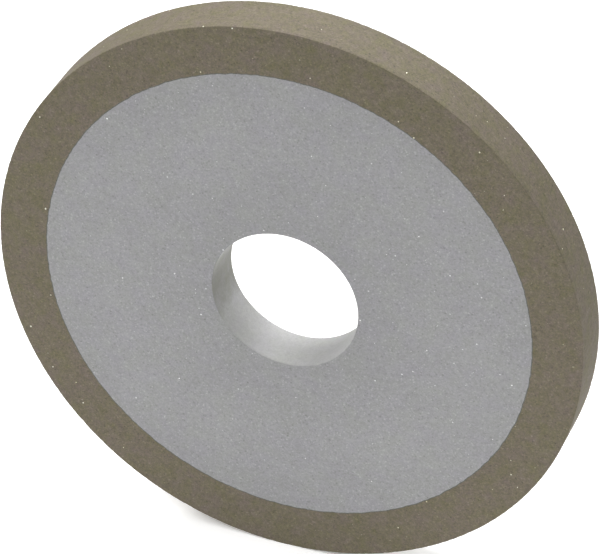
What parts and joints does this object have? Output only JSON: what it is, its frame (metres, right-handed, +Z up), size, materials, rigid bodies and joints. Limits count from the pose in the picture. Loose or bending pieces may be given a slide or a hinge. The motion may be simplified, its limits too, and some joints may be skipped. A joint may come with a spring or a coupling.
{
  "type": "diamond grinding wheel",
  "caption": "Straight grinding wheel for a tool grinder: a flat grey hub with a plain spindle bore, ringed by a square-edged rim of diamond grit in resin bond.",
  "frame": {"origin": "centre of the wheel: on the spindle axis, midway between the two faces", "axes": "+Y along the spindle axis from the front face to the back face, +Z up with the wheel standing on its rim, +X to the right seen from the front"},
  "size_m": [0.0762, 0.0064, 0.0762],
  "materials": {
    "hub_filled_resin": "aluminium-filled moulding resin, grey, finely speckled, ground flat",
    "resin_cement": "dark resin cement, matt",
    "diamond_resin_bond": "olive-brown resin bond with diamond grit, dry and matt, sparse sparkle"
  },
  "bodies": {
    "root": {"hub": "hub_filled_resin", "cement_layer": "resin_cement", "diamond_rim": "diamond_resin_bond"}
  },
  "joints": []
}
